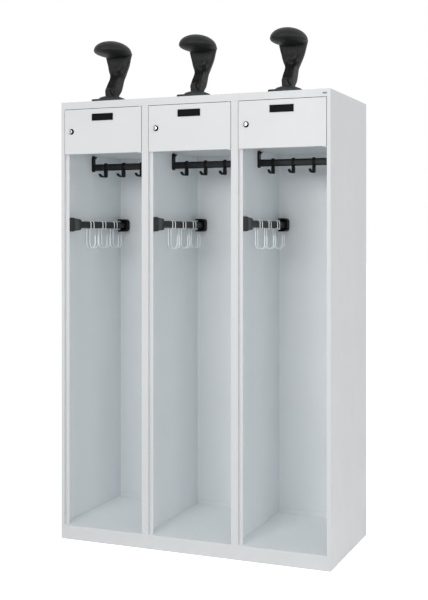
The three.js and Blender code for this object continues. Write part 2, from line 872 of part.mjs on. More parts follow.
function bayGroup(index) {
  const group = new THREE.Group();
  group.position.x = index * bay;
  const number = index + 1;
  group.add(piece(`shelf_${number}`, shelf(), greyCoat));
  group.add(piece(`door_${number}`, door(), doorCoat));
  group.add(piece(`card_holder_${number}`, cardHolder(), blackPlastic));
  group.add(piece(`lock_housing_${number}`, lockHousing(), blackPlastic));
  group.add(piece(`lock_plug_${number}`, lockPlug(), chrome));
  group.add(piece(`coat_rail_${number}`, coatRail(), blackTube));
  for (let i = 0; i < hooksPerRail; i++) {
    group.add(piece(`coat_hook_${number}_${i + 1}`, coatHook(hookFirst + i * hookPitch), blackPlastic));
  }
  group.add(piece(`hanger_rail_${number}`, hangerRail(), blackTube));
  group.add(piece(`front_bracket_${number}`, frontBracket(), blackPlastic));
  for (let i = 0; i < hangersPerRail; i++) {
    group.add(piece(`wire_hanger_${number}_${i + 1}`, wireHanger(hangerFirst + i * hangerPitch), steelWire));
  }
  const holder = new THREE.Group();
  holder.position.set(bay / half - holderAside, 0, height);
  holder.add(piece(`helmet_stand_${number}`, helmetStand(), blackPlastic));
  holder.add(piece(`helmet_head_${number}`, helmetHead(), blackPlastic));
  group.add(holder);
  return group;
}

const locker = new THREE.Group();
locker.position.set(-width / half, -originY, 0);
locker.add(piece("left_side", leftSide(), greyCoat));
locker.add(piece("right_side", rightSide(), greyCoat));
for (let i = 1; i < bays; i++) {
  locker.add(piece(`partition_${i}`, partition(i * bay), greyCoat));
}
locker.add(piece("back_panel", backPanel(), greyCoat));
locker.add(piece("top_panel", topPanel(), greyCoat));
locker.add(piece("floor_panel", floorPanel(), greyCoat));
for (let i = 0; i < bays; i++) {
  locker.add(bayGroup(i));
}

export default locker;
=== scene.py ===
"""Gear locker: finishes, fine surfaces and small fittings, on the frame of its CAD model."""

import math

import bmesh
import bpy
from mathutils import Matrix, Vector


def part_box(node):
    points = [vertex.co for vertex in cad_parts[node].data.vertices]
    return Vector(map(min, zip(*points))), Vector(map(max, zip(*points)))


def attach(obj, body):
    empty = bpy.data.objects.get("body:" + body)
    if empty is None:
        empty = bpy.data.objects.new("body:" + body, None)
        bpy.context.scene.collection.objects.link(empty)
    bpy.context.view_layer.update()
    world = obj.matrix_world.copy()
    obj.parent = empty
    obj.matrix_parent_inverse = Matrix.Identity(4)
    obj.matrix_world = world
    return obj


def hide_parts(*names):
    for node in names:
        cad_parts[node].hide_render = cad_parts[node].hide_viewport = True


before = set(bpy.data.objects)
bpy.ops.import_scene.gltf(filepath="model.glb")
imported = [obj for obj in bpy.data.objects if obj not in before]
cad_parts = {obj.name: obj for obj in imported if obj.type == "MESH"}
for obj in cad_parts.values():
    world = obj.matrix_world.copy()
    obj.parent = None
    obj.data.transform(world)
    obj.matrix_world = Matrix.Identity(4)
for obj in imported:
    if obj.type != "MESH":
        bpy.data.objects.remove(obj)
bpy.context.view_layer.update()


# Places in the frame, in metres. Sizes of pieces are in millimetres.

MM = 0.001
BAYS = (1, 2, 3)
X, Y, Z = 0, 1, 2
LOWEST, HIGHEST = 0, 1
PLACE_DIGITS = 6


def corner(node, end, axis):
    """One coordinate of the lowest or highest corner of a CAD node."""
    return round(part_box(node)[end][axis], PLACE_DIGITS)


def centre(node, axis):
    """One coordinate of the middle of a CAD node."""
    low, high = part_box(node)
    return round((low[axis] + high[axis]) / 2, PLACE_DIGITS)


LEFT = corner("left_side", LOWEST, X)
RIGHT = corner("right_side", HIGHEST, X)
FRONT = corner("floor_panel", LOWEST, Y)
REAR = corner("back_panel", HIGHEST, Y)
TOP = corner("top_panel", HIGHEST, Z)
BAY = (RIGHT - LEFT) / len(BAYS)


def bay_x(number, x):
    """X in the frame of a point measured from the left edge of a bay, in millimetres."""
    return LEFT + (number - 1) * BAY + x * MM


def front_y(y):
    """Y in the frame of a point measured back from the front face, in millimetres."""
    return FRONT + y * MM


def from_left(node):
    """Middle of a node of the first bay, from the left edge, in millimetres."""
    return (centre(node, X) - LEFT) / MM


# Angle over which an edge of a new piece shows sharp.
SHARP_ANGLE = math.radians(40)


# Nodes of the finishes

# Range in which a noise is read.
NOISE_LOW, NOISE_HIGH = 0.3, 0.7

# Sockets of a mix node that mixes colours.
MIX_FIRST, MIX_SECOND, MIX_RESULT = 6, 7, 2

COAT_IOR = 1.5


def new_finish(name):
    finish = bpy.data.materials.new(name)
    finish.use_nodes = True
    nodes = finish.node_tree.nodes
    shader = nodes["Principled BSDF"]
    return finish, nodes, finish.node_tree.links, shader


def grain(nodes, links, scale, detail, roughness=0.5, stretch=(1, 1, 1)):
    """Noise on object coordinates, in cycles per metre."""
    place = nodes.new("ShaderNodeTexCoord")
    mapping = nodes.new("ShaderNodeMapping")
    mapping.inputs["Scale"].default_value = stretch
    noise = nodes.new("ShaderNodeTexNoise")
    noise.inputs["Scale"].default_value = scale
    noise.inputs["Detail"].default_value = detail
    noise.inputs["Roughness"].default_value = roughness
    links.new(place.outputs["Object"], mapping.inputs["Vector"])
    links.new(mapping.outputs["Vector"], noise.inputs["Vector"])
    return noise.outputs["Fac"]


def position(nodes, links, axis):
    """One object coordinate, in metres."""
    place = nodes.new("ShaderNodeTexCoord")
    split = nodes.new("ShaderNodeSeparateXYZ")
    links.new(place.outputs["Object"], split.inputs["Vector"])
    return split.outputs[axis]


def ramp(nodes, links, source, start, end, low, high):
    """A source that goes from start to end, mapped to low and high and held there."""
    shift = nodes.new("ShaderNodeMapRange")
    shift.inputs["From Min"].default_value = start
    shift.inputs["From Max"].default_value = end
    shift.inputs["To Min"].default_value = low
    shift.inputs["To Max"].default_value = high
    links.new(source, shift.inputs["Value"])
    return shift.outputs["Result"]


def spread(nodes, links, noise, low, high):
    """Noise mapped to a range of values."""
    return ramp(nodes, links, noise, NOISE_LOW, NOISE_HIGH, low, high)


def cloudy(nodes, links, noise, colour, dark, light):
    """A colour that a noise varies between two shares of itself."""
    clouds = nodes.new("ShaderNodeValToRGB")
    first, second = clouds.color_ramp.elements
    first.position = NOISE_LOW
    second.position = NOISE_HIGH
    first.color = (*(value * dark for value in colour), 1)
    second.color = (*(value * light for value in colour), 1)
    links.new(noise, clouds.inputs["Fac"])
    return clouds.outputs["Color"]


def relief(nodes, links, shader, heights):
    """Bumps, one on the other: pairs of a height source and its depth in metres."""
    last = None
    for source, depth in heights:
        bump = nodes.new("ShaderNodeBump")
        bump.inputs["Strength"].default_value = 1.0
        bump.inputs["Distance"].default_value = depth
        links.new(source, bump.inputs["Height"])
        if last is not None:
            links.new(last, bump.inputs["Normal"])
        last = bump.outputs["Normal"]
    links.new(last, shader.inputs["Normal"])


def least(nodes, links, first, second):
    lower = nodes.new("ShaderNodeMath")
    lower.operation = "MINIMUM"
    links.new(first, lower.inputs[0])
    links.new(second, lower.inputs[1])
    return lower.outputs[0]


def magnitude(nodes, links, value):
    unsigned = nodes.new("ShaderNodeMath")
    unsigned.operation = "ABSOLUTE"
    links.new(value, unsigned.inputs[0])
    return unsigned.outputs[0]


def colour_mix(nodes, links, share, first):
    """Mix node that shows the first colour where the share is 0."""
    mix = nodes.new("ShaderNodeMix")
    mix.data_type = "RGBA"
    links.new(share, mix.inputs["Factor"])
    links.new(first, mix.inputs[MIX_FIRST])
    return mix


# Powder coat

# Where the lighter paint of the inner faces starts, which paints the light inside the bays,
# and a place behind the body for a paint that has no end, in metres.
LIT_INNER_START = FRONT + 0.017
BEHIND_BODY = 0.260

# The floor's lighter inner paint, painted light, starts at its front edge. Its end lies across
# the rear upturn, which takes a colour between the two paints.
FLOOR_START = FRONT + 0.0008
FLOOR_END = 0.25272

# Lengths over which the paints change, in metres.
START_FADE = 0.003
EDGE_FADE = 0.0004
SIDE_FADE = 0.0006

PAINT_DARK, PAINT_LIGHT = 0.975, 1.012
PEEL_DEPTH = 0.00006
FINE_PEEL_DEPTH = 0.000012


def inner_light_share(nodes, links, start, end):
    """Share of the painted inner light: 1 between start and end inside the body, 0 on its folds in
    front and its outer faces.
    """
    y = position(nodes, links, "Y")
    behind = ramp(nodes, links, y, start, start + START_FADE, 0, 1)
    before = ramp(nodes, links, y, end - EDGE_FADE, end, 1, 0)
    under = ramp(nodes, links, position(nodes, links, "Z"), TOP - EDGE_FADE, TOP, 1, 0)
    aside = magnitude(nodes, links, position(nodes, links, "X"))
    inner_side = RIGHT - EDGE_FADE
    between = ramp(nodes, links, aside, inner_side - SIDE_FADE, inner_side, 1, 0)
    lengthwise = least(nodes, links, behind, before)
    return least(nodes, links, lengthwise, least(nodes, links, under, between))


def powder_coat(name, colour, lit_inner=None, start=LIT_INNER_START, end=BEHIND_BODY):
    """Semi-gloss powder coat on sheet steel: orange peel, slight rubbing and handling marks. An inner
    colour paints lighter inner faces: painted light.
    """
    finish, nodes, links, shader = new_finish(name)
    cloud = grain(nodes, links, scale=2.5, detail=4)
    peel = grain(nodes, links, scale=420, detail=2)
    fine = grain(nodes, links, scale=1600, detail=2)
    rub = grain(nodes, links, scale=14, detail=6, roughness=0.65, stretch=(1, 1, 0.35))
    paint = cloudy(nodes, links, cloud, colour, PAINT_DARK, PAINT_LIGHT)
    if lit_inner:
        mix = colour_mix(nodes, links, inner_light_share(nodes, links, start, end), paint)
        lit_inner_paint = cloudy(nodes, links, cloud, lit_inner, PAINT_DARK, PAINT_LIGHT)
        links.new(lit_inner_paint, mix.inputs[MIX_SECOND])
        paint = mix.outputs[MIX_RESULT]
    links.new(paint, shader.inputs["Base Color"])
    links.new(spread(nodes, links, rub, low=0.36, high=0.52), shader.inputs["Roughness"])
    relief(nodes, links, shader, [(peel, PEEL_DEPTH), (fine, FINE_PEEL_DEPTH)])
    shader.inputs["IOR"].default_value = COAT_IOR
    return finish


# The inner colours are lighter, bluer copies of the grey coat: painted light inside the bays.
OUTER_GREY = (0.655, 0.669, 0.680)
CARCASS = powder_coat("grey powder coat with painted inner light", OUTER_GREY, (0.81, 0.85, 0.869))
BOTTOM = powder_coat("floor powder coat with painted inner light", OUTER_GREY, (0.915, 0.95, 0.965), FLOOR_START, FLOOR_END)
BACK = powder_coat("back powder coat with painted inner light", OUTER_GREY, (0.80, 0.831, 0.849), end=REAR)
DOOR = powder_coat("door powder coat", (0.68, 0.694, 0.702))


# Black plastics

PIT_DEPTH = 0.00005

# Places where the painted highlight on the middle of a rail's front bracket grows and fades, in
# metres.
HIGHLIGHT_GROWS = (FRONT + 0.018, FRONT + 0.040)
HIGHLIGHT_FADES = (FRONT + 0.052, FRONT + 0.080)


def moulded_plastic(name, colour, shine=0.3):
    """Black moulded plastic with a fine spark-eroded texture and soft scuffing."""
    finish, nodes, links, shader = new_finish(name)
    cloud = grain(nodes, links, scale=22, detail=4)
    pits = grain(nodes, links, scale=1500, detail=3, roughness=0.6)
    scuff = grain(nodes, links, scale=60, detail=8, roughness=0.7)
    links.new(cloudy(nodes, links, cloud, colour, dark=0.9, light=1.2), shader.inputs["Base Color"])
    links.new(spread(nodes, links, scuff, low=0.42, high=0.6), shader.inputs["Roughness"])
    relief(nodes, links, shader, [(pits, PIT_DEPTH)])
    shader.inputs["IOR"].default_value = COAT_IOR
    shader.inputs["Specular IOR Level"].default_value = shine
    return finish


def bell_plastic(name, dark, light):
    """Black bracket plastic with a painted highlight: a lighter band along its wide middle."""
    finish = moulded_plastic(name, dark)
    nodes, links = finish.node_tree.nodes, finish.node_tree.links
    shader = nodes["Principled BSDF"]
    y = position(nodes, links, "Y")
    rise = ramp(nodes, links, y, *HIGHLIGHT_GROWS, 0, 1)
    fall = ramp(nodes, links, y, *HIGHLIGHT_FADES, 1, 0)
    plain = shader.inputs["Base Color"].links[0].from_socket
    mix = colour_mix(nodes, links, least(nodes, links, rise, fall), plain)
    # The lighter colour is the painted highlight.
    mix.inputs[MIX_SECOND].default_value = (*light, 1)
    links.new(mix.outputs[MIX_RESULT], shader.inputs["Base Color"])
    return finish


BLACK = moulded_plastic("black moulded plastic", (0.010, 0.0104, 0.0106), shine=0.22)
HOOK = moulded_plastic("black hook plastic", (0.005, 0.0055, 0.006), shine=0.12)
BELL = bell_plastic("black bracket with painted highlight", (0.003, 0.0033, 0.0033), (0.068, 0.072, 0.074))
CARD = moulded_plastic("matt black card frame", (0.0035, 0.0042, 0.0045), shine=0.06)
# Colour of the dark strips in the door gaps: painted shade.
GAP_SHADE = moulded_plastic("black painted gap shade", (0.003, 0.003, 0.003), shine=0.02)
BASE = moulded_plastic("satin black base", (0.017, 0.021, 0.023), shine=0.3)


# Coated tube and bright metal

TUBE_BLACK = (0.006, 0.0066, 0.007)
TUBE_PEEL_DEPTH = 0.00004
DRAW_MARK_DEPTH = 0.00002


def coated_tube(name, colour, shine):
    """Black coated steel tube, rubbed where fittings slide."""
    finish, nodes, links, shader = new_finish(name)
    wear = grain(nodes, links, scale=40, detail=6, roughness=0.6, stretch=(0.25, 0.25, 1))
    peel = grain(nodes, links, scale=700, detail=2)
    links.new(cloudy(nodes, links, wear, colour, dark=0.85, light=1.35), shader.inputs["Base Color"])
    links.new(spread(nodes, links, wear, low=0.3, high=0.46), shader.inputs["Roughness"])
    relief(nodes, links, shader, [(peel, TUBE_PEEL_DEPTH)])
    shader.inputs["IOR"].default_value = COAT_IOR
    shader.inputs["Specular IOR Level"].default_value = shine
    return finish


def plated_metal(name, colour, low, high, metal=1.0):
    """Plated metal with fine draw marks, rough between low and high."""
    finish, nodes, links, shader = new_finish(name)
    marks = grain(nodes, links, scale=500, detail=4, roughness=0.6)
    cloud = grain(nodes, links, scale=45, detail=3)
    links.new(cloudy(nodes, links, cloud, colour, dark=0.93, light=1.03), shader.inputs["Base Color"])
    links.new(spread(nodes, links, marks, low, high), shader.inputs["Roughness"])
    relief(nodes, links, shader, [(marks, DRAW_MARK_DEPTH)])
    shader.inputs["Metallic"].default_value = metal
    return finish


TUBE = coated_tube("black coated tube", TUBE_BLACK, shine=0.25)
CUP = coated_tube("matt black rail cup", TUBE_BLACK, shine=0.08)
CHROME = plated_metal("chromed lock", (0.72, 0.73, 0.74), low=0.12, high=0.24)
SCREW = plated_metal("dark zinc screw", (0.3, 0.31, 0.32), low=0.3, high=0.45)
WIRE = plated_metal("zinc-plated wire", (0.91, 0.935, 0.945), low=0.42, high=0.58, metal=0.75)
PLATE = plated_metal("satin plate", (0.12, 0.12, 0.12), low=0.4, high=0.55)


# Finishing the sheet, tube and plastic pieces of the frame

WELD_REACH = 0.02
FLAT_ANGLE = math.radians(0.3)
EDGE_ANGLE = math.radians(38)
EDGE_SEGMENTS = 2
NORMAL_WEIGHT = 100

# Widths of rounded edges.
SHEET_EDGE = 0.4
TOP_PANEL_EDGE = 0.25
DOOR_EDGE = 0.2
PLASTIC_EDGE = 0.5
PLUG_EDGE = 0.3
COAT_RAIL_EDGE = 0.5
HANGER_RAIL_EDGE = 0.6
BRACKET_EDGE = 1.2

# Faces of a hanger rail with their middle behind this place belong to its rear cup, in metres.
CUP_START = 0.190


def dress(node, finish, edge):
    """Gives a CAD node its finish and small rounded edges."""
    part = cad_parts[node]
    part.data.materials.clear()
    part.data.materials.append(finish)
    for face in part.data.polygons:
        face.use_smooth = True
    weld = part.modifiers.new("weld", "WELD")
    weld.merge_threshold = WELD_REACH * MM
    flat = part.modifiers.new("flat faces", "DECIMATE")
    flat.decimate_type = "DISSOLVE"
    flat.angle_limit = FLAT_ANGLE
    bevel = part.modifiers.new("folded edges", "BEVEL")
    bevel.width = edge * MM
    bevel.segments = EDGE_SEGMENTS
    bevel.limit_method = "ANGLE"
    bevel.angle_limit = EDGE_ANGLE
    even = part.modifiers.new("even shading", "WEIGHTED_NORMAL")
    even.mode = "FACE_AREA"
    even.weight = NORMAL_WEIGHT
    even.keep_sharp = True
    return part


def dress_carcass():
    for node in ("left_side", "right_side", "partition_1", "partition_2"):
        dress(node, CARCASS, SHEET_EDGE)
    dress("back_panel", BACK, SHEET_EDGE)
    dress("top_panel", CARCASS, TOP_PANEL_EDGE)
    dress("floor_panel", BOTTOM, SHEET_EDGE)
    for number in BAYS:
        dress(f"shelf_{number}", CARCASS, SHEET_EDGE)


def dress_doors():
    for number in BAYS:
        dress(f"door_{number}", DOOR, DOOR_EDGE)
        dress(f"card_holder_{number}", CARD, PLASTIC_EDGE)
        dress(f"lock_housing_{number}", CARD, PLASTIC_EDGE)
        dress(f"lock_plug_{number}", CHROME, PLUG_EDGE)


def dress_rails():
    for number in BAYS:
        dress(f"coat_rail_{number}", TUBE, COAT_RAIL_EDGE)
        rail = dress(f"hanger_rail_{number}", TUBE, HANGER_RAIL_EDGE)
        rail.data.materials.append(CUP)
        for face in rail.data.polygons:
            face.material_index = int(face.center.y > CUP_START)
        dress(f"front_bracket_{number}", BELL, BRACKET_EDGE)


# Making new pieces


def finished(name, shape, finish, smooth=True):
    """Turns a bmesh into an object with its finish."""
    mesh = bpy.data.meshes.new(name)
    shape.normal_update()
    shape.to_mesh(mesh)
    shape.free()
    if smooth:
        mesh.shade_smooth()
    piece = bpy.data.objects.new(name, mesh)
    bpy.context.scene.collection.objects.link(piece)
    mesh.materials.append(finish)
    return piece


def block(shape, sizes, middle):
    """Block of three sizes round its middle, in metres."""
    verts = bmesh.ops.create_cube(shape, size=1)["verts"]
    bmesh.ops.scale(shape, vec=sizes, verts=verts)
    bmesh.ops.translate(shape, vec=middle, verts=verts)


def rounded(shape, edges, width, segments):
    """Rounds edges of a shape by a width in millimetres."""
    bmesh.ops.bevel(
        shape,
        geom=edges,
        offset=width * MM,
        offset_type="OFFSET",
        affect="EDGES",
        segments=segments,
        profile=0.5,
        material=-1,
    )


def arc(centre_a, centre_b, radius, start, end, steps):
    """Points in a plane along an arc, from its start angle to its end angle."""
    points = []
    for i in range(steps + 1):
        turn = start + (end - start) * i / steps
        points.append((centre_a + radius * math.cos(turn), centre_b + radius * math.sin(turn)))
    return points


# Wire hangers

WIRE_RADIUS = 1.8
WIRE_FACETS = 3
HANGER_PLACES = (1, 2, 3)

# Half the distance between the two strands of a hanger.
STRAND_ASIDE = 12.5

# X from the left edge of the bay and height of the wire's tip, ring, J and crossing.
TIP_X, TIP_Z = 31.0, 1315.0
RING_CORNER = 5
RING_X, RING_TOP, RING_RADIUS = 32.5, 1350.4, 10.5
J_X, J_Z, J_RADIUS = 43.0, 1252.0, 21.0
CROSSING_Z = 1277.5
CORNER_STEPS, RING_STEPS, J_STEPS, CROSSING_STEPS = 6, 16, 20, 10


def hanger_line(number, middle_y):
    """Centre line of a bent wire hanger, in the frame: ring, shank and J, there and back."""
    quarter, half = math.pi / 2, math.pi
    corner_x, corner_z = RING_X + RING_RADIUS - RING_CORNER, TIP_Z + RING_CORNER
    flat = [(TIP_X, TIP_Z)]
    flat += arc(corner_x, corner_z, RING_CORNER, -quarter, 0, CORNER_STEPS)
    flat += arc(RING_X, RING_TOP - RING_RADIUS, RING_RADIUS, 0, half, RING_STEPS)
    flat += arc(J_X, J_Z, J_RADIUS, half, 2 * half, J_STEPS)
    near = [(x, -STRAND_ASIDE, z) for x, z in flat]
    crossing = arc(0, CROSSING_Z, STRAND_ASIDE, half, quarter, CROSSING_STEPS)
    near += [(J_X + J_RADIUS, aside, z) for aside, z in crossing]
    far = [(x, -aside, z) for x, aside, z in reversed(near[:-1])]
    return [(bay_x(number, x), middle_y + aside * MM, z * MM) for x, aside, z in near + far]


def swept_wire(name, line):
    """Round wire along a line of points, with closed ends."""
    curve = bpy.data.curves.new(name, "CURVE")
    curve.dimensions = "3D"
    curve.bevel_depth = WIRE_RADIUS * MM
    curve.bevel_resolution = WIRE_FACETS
    curve.use_fill_caps = True
    spline = curve.splines.new("POLY")
    spline.points.add(len(line) - 1)
    for point, place in zip(spline.points, line):
        point.co = (*place, 1)
    holder = bpy.data.objects.new(name + "_line", curve)
    bpy.context.scene.collection.objects.link(holder)
    bpy.context.view_layer.update()
    mesh = bpy.data.meshes.new_from_object(holder)
    bpy.data.objects.remove(holder)
    mesh.name = name
    mesh.materials.clear()
    mesh.materials.append(WIRE)
    mesh.shade_smooth()
    piece = bpy.data.objects.new(name, mesh)
    bpy.context.scene.collection.objects.link(piece)
    return piece


def wire_hangers():
    for number in BAYS:
        for place in HANGER_PLACES:
            node = f"wire_hanger_{number}_{place}"
            line = hanger_line(number, centre(node, Y))
            wire = swept_wire(f"bent_wire_{number}_{place}", line)
            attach(wire, node)
            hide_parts(node)


# Coat hooks

HOOK_PLACES = (1, 2, 3, 4)
HOOK_WIDE = 10
HOOK_EDGE = 0.8
HOOK_EDGE_SEGMENTS = 3
HOOK_EDGE_ANGLE = 0.6

# Strap round the oval tube: two half rings with straight sides between them.
STRAP_INSIDE, STRAP_OUTSIDE = 8.0, 11.5
STRAP_HALF_STRAIGHT = 7.5
STRAP_SIDES = 48

# Front to rear and height from the middle of the rail, of the shank and its curled toe.
HOOK_OUTLINE = [
    (-11, -17.2), (-11, -36), (-11.6, -38.6), (-13.4, -40.4), (-16, -41), (-22, -41),
    (-30, -39.8), (-39, -37), (-46, -34), (-50.5, -30.8), (-52.6, -30.2), (-54, -31.4),
    (-53.6, -36), (-47, -42.2), (-38, -45.4), (-28, -46.4), (1.5, -46), (5.5, -44.8),
    (8.4, -42), (9.5, -38), (9.5, -17.2),
]


def thickened(shape, faces, width):
    """Gives a flat outline that lies across X its width, evenly to both sides."""
    verts = list({vert for face in faces for vert in face.verts})
    bmesh.ops.translate(shape, vec=(-width / 2, 0, 0), verts=verts)
    grown = bmesh.ops.extrude_face_region(shape, geom=faces)["geom"]
    moved = [item for item in grown if isinstance(item, bmesh.types.BMVert)]
    bmesh.ops.translate(shape, vec=(width, 0, 0), verts=moved)


def strap_loop(shape, radius):
    """Edges of one closed line round the tube."""
    loop = []
    for i in range(STRAP_SIDES):
        turn = 2 * math.pi * (i + 0.5) / STRAP_SIDES
        middle = STRAP_HALF_STRAIGHT if i < STRAP_SIDES / 2 else -STRAP_HALF_STRAIGHT
        y, z = radius * math.cos(turn), middle + radius * math.sin(turn)
        loop.append(shape.verts.new((0, y * MM, z * MM)))
    return [shape.edges.new(pair) for pair in zip(loop, loop[1:] + loop[:1])]


def coat_hook(name, middle):
    """Sliding hook: a strap round the rail and a flat shank that ends in a curled toe."""
    shape = bmesh.new()
    loops = strap_loop(shape, STRAP_INSIDE) + strap_loop(shape, STRAP_OUTSIDE)
    strap = bmesh.ops.bridge_loops(shape, edges=loops)["faces"]
    thickened(shape, strap, HOOK_WIDE * MM)
    points = [shape.verts.new((0, y * MM, z * MM)) for y, z in HOOK_OUTLINE]
    thickened(shape, [shape.faces.new(points)], HOOK_WIDE * MM)
    bmesh.ops.recalc_face_normals(shape, faces=shape.faces)
    sharp = [edge for edge in shape.edges if edge.calc_face_angle(0) > HOOK_EDGE_ANGLE]
    rounded(shape, sharp, HOOK_EDGE, HOOK_EDGE_SEGMENTS)
    bmesh.ops.translate(shape, vec=middle, verts=shape.verts)
    hook = finished(name, shape, HOOK)
    hook.data.set_sharp_from_angle(angle=SHARP_ANGLE)
    return hook


def coat_hooks():
    rise = (STRAP_HALF_STRAIGHT + STRAP_OUTSIDE) * MM
    for number in BAYS:
        rail_y = centre(f"coat_rail_{number}", Y)
        for place in HOOK_PLACES:
            node = f"coat_hook_{number}_{place}"
            middle = (centre(node, X), rail_y, corner(node, HIGHEST, Z) - rise)
            hook = coat_hook(f"hook_{number}_{place}", middle)
            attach(hook, node)
            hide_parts(node)


# Helmet holders: heights are over the top panel

# Middle of a holder from the left edge of its bay.
HOLDER_X = from_left("helmet_stand_1")

# Height, middle and half sizes of the neck's section, and its taper to the rear.
NECK = [
    (6.1, 86, 21.5, 31.5, 0),
    (29.1, 84, 21.3, 31, 0),
    (52.9, 93.7, 23.3, 42, 0),
    (71, 104.4, 23, 42, 0),
    (108, 125, 21.5, 39, 0),
    (123, 140, 29.5, 29, 0.2),
    (147, 141.5, 41, 23, 0.12),
    (166, 143, 47.5, 21, 0.08),
    (198, 141, 57, 19, 0.04),
    (217, 141, 61, 19, 0),
]
NECK_COLUMNS = (1, 2, 3, 4)
HALF_WIDTH_COLUMN = 2
NECK_ROWS = 150
NECK_POINTS_IN_FRONT = 88
NECK_POINTS_BEHIND = 96
NECK_SMOOTHING = 0.5

# The section is an oval of this power. Its front line takes this share of the half width, up
# to this reach.
SQUARENESS = 4
FRONT_SHARE = 0.93
FRONT_REACH = 26
FRONT_STEPS = 240
SIDE_STEPS = 360

# Height, middle and half sizes of the channel in the front of the neck.
CHANNEL = [
    (60, 68, 12, 5),
    (76, 77, 18, 16),
    (104, 96, 18.5, 17),
    (127, 115, 19.5, 12),
    (150, 119, 21, 6),
]
CHANNEL_COLUMNS = (1, 2, 3)

# Heights over which the channel opens, and over which it closes, from the edge of the pad.
CHANNEL_OPENS = (48, 76)
CHANNEL_CLOSES = (-22, 4)

# Pad that closes the channel: its half width, and how much that grows between two heights.
PAD_HALF_WIDE = 19
PAD_GROWTH = 2
PAD_GROWS = (120, 150)

# Lower edge of the pad: its height in the middle, its rise to the sides and its roundness.
PAD_EDGE = 147
PAD_EDGE_RISE = 16
PAD_EDGE_POWER = 2.4

# Run of the pad's rim, sideways from its half width and upwards from its edge.
PAD_SIDE = (-1, 1)
PAD_FOOT = (-6, 8)

# Shallow line along each side of the pad.
DITCH_ASIDE = 2.4
DITCH_HALF_WIDE = 2.2
DITCH_STARTS = (158, 166)
DITCH_DEPTH = 0.6

# Crease low on the neck: the place of its bend, and the rise and run of it below and above.
CREASE_X, CREASE_Z = 10, 43
CREASE_BELOW = (24, 12)
CREASE_ABOVE = (29, 5)
CREASE_HALF_WIDE = 3.8
CREASE_STARTS = (14, 18)
CREASE_ENDS = (60, 70)
CREASE_DEPTH = 7

# Seams round the shoulder, drawn in on its sides only.
SEAM_HEIGHTS = (190, 199, 208)
SEAM_HALF_WIDE = 1.6
SEAM_DEPTH = 1.2
SEAM_SIDES = (-0.75, -0.3)

# Painted shade in the channel, in darker and less shiny plastic: from left to right, its heights and
# its least depth.
SHADE_LEFT, SHADE_RIGHT = 3, 21
SHADE_LOW, SHADE_HIGH = 100, 160
SHADE_DEPTH = 1.5


def smooth_between(table, z, column):
    """One column of a table at a height, smooth between its rows."""
    i = 0
    while i < len(table) - 2 and z > table[i + 1][0]:
        i += 1
    span = table[i + 1][0] - table[i][0]
    s = min(max((z - table[i][0]) / span, 0), 1)
    before = table[max(i - 1, 0)]
    after = table[min(i + 2, len(table) - 1)]
    start = (table[i + 1][column] - before[column]) / (table[i + 1][0] - before[0]) * span
    end = (after[column] - table[i][column]) / (after[0] - table[i][0]) * span
    value = (2 * s**3 - 3 * s**2 + 1) * table[i][column] + (s**3 - 2 * s**2 + s) * start
    return value + (3 * s**2 - 2 * s**3) * table[i + 1][column] + (s**3 - s**2) * end


def bell(value, half_width):
    """1 at zero, falling smoothly to 0 at the half width."""
    t = min(abs(value) / half_width, 1)
    return 1 - t * t * (3 - 2 * t)


def step_up(value, start, end):
    """0 before the start, rising smoothly to 1 at the end."""
    t = min(max((value - start) / (end - start), 0), 1)
    return t * t * (3 - 2 * t)


def plain_front(x, z):
    """Front of the neck before its channel is cut."""
    middle, half_x, half_y, taper = (smooth_between(NECK, z, k) for k in NECK_COLUMNS)
    t = min(abs(x) / half_x / (1 + taper), 1)
    return middle - half_y * max(1 - t**SQUARENESS, 0) ** (1 / SQUARENESS)


def pad_half_wide(z):
    return PAD_HALF_WIDE + PAD_GROWTH * step_up(z, *PAD_GROWS)


def pad_edge(x, wide):
    """Height of the rounded lower edge of the pad that closes the channel."""
    return PAD_EDGE + PAD_EDGE_RISE * min(abs(x) / wide, 1) ** PAD_EDGE_POWER


def near_level(value, level, offsets):
    """Smooth step over offsets from a level."""
    return step_up(value, level + offsets[0], level + offsets[1])


def channel_room(x, z):
    """Depth of the channel under the plain front."""
    level = min(max(z, CHANNEL[0][0]), CHANNEL[-1][0])
    middle, half_x, half_y = (smooth_between(CHANNEL, level, k) for k in CHANNEL_COLUMNS)
    bed = middle + half_y * math.sqrt(max(1 - (x / half_x) ** 2, 0))
    closed = near_level(z, pad_edge(x, pad_half_wide(z)), CHANNEL_CLOSES)
    return max(bed - plain_front(x, z), 0) * (step_up(z, *CHANNEL_OPENS) * (1 - closed))


def pad_height(x, z):
    """Height of the pad over the plain front, up to a millimetre."""
    wide = pad_half_wide(z)
    return (1 - near_level(abs(x), wide, PAD_SIDE)) * near_level(z, pad_edge(x, wide), PAD_FOOT)


def ditch(x, z):
    """Depth of the line along each side of the pad."""
    aside = abs(x) - pad_half_wide(z) - DITCH_ASIDE
    share = bell(aside, DITCH_HALF_WIDE) * step_up(z, *DITCH_STARTS)
    return DITCH_DEPTH * share


def crease(x, z):
    """Depth of the crease."""
    rise, run = CREASE_BELOW if z < CREASE_Z else CREASE_ABOVE
    middle = CREASE_X + (CREASE_Z - z) / rise * run
    share = bell(x - middle, CREASE_HALF_WIDE) * step_up(z, *CREASE_STARTS)
    return CREASE_DEPTH * (share * (1 - step_up(z, *CREASE_ENDS)))


def front_line(z, reach):
    """Front of the neck's section from side to side: channel below, pad over it."""
    line = []
    for i in range(FRONT_STEPS + 1):
        x = reach * (2 * i / FRONT_STEPS - 1)
        y = plain_front(x, z) + channel_room(x, z) - pad_height(x, z)
        line.append((x, y + ditch(x, z) + crease(x, z)))
    return line


